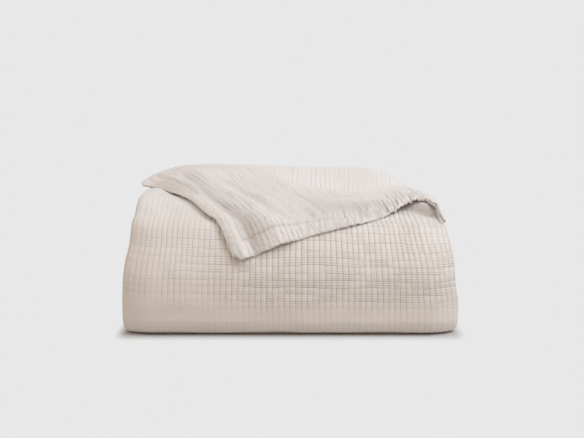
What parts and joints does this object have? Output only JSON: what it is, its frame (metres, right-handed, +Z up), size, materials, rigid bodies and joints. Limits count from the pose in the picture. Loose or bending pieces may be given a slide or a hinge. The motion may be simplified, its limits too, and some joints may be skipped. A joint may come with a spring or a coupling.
{
  "type": "folded coverlet",
  "caption": "Crinkled cotton coverlet folded into a soft rectangular bundle, one corner of its top layer turned down over the front.",
  "frame": {"origin": "on the surface the bundle rests on, under the middle of its flat underside", "axes": "+X along the bundle's width, +Y from the front fold to the back, +Z up"},
  "size_m": [0.4802, 0.3467, 0.2189],
  "materials": {
    "cloth": "matt off-white crinkled double-weave cotton, gridded on the face and ribbed on the back"
  },
  "bodies": {
    "root": {"coverlet": "cloth"}
  },
  "joints": []
}
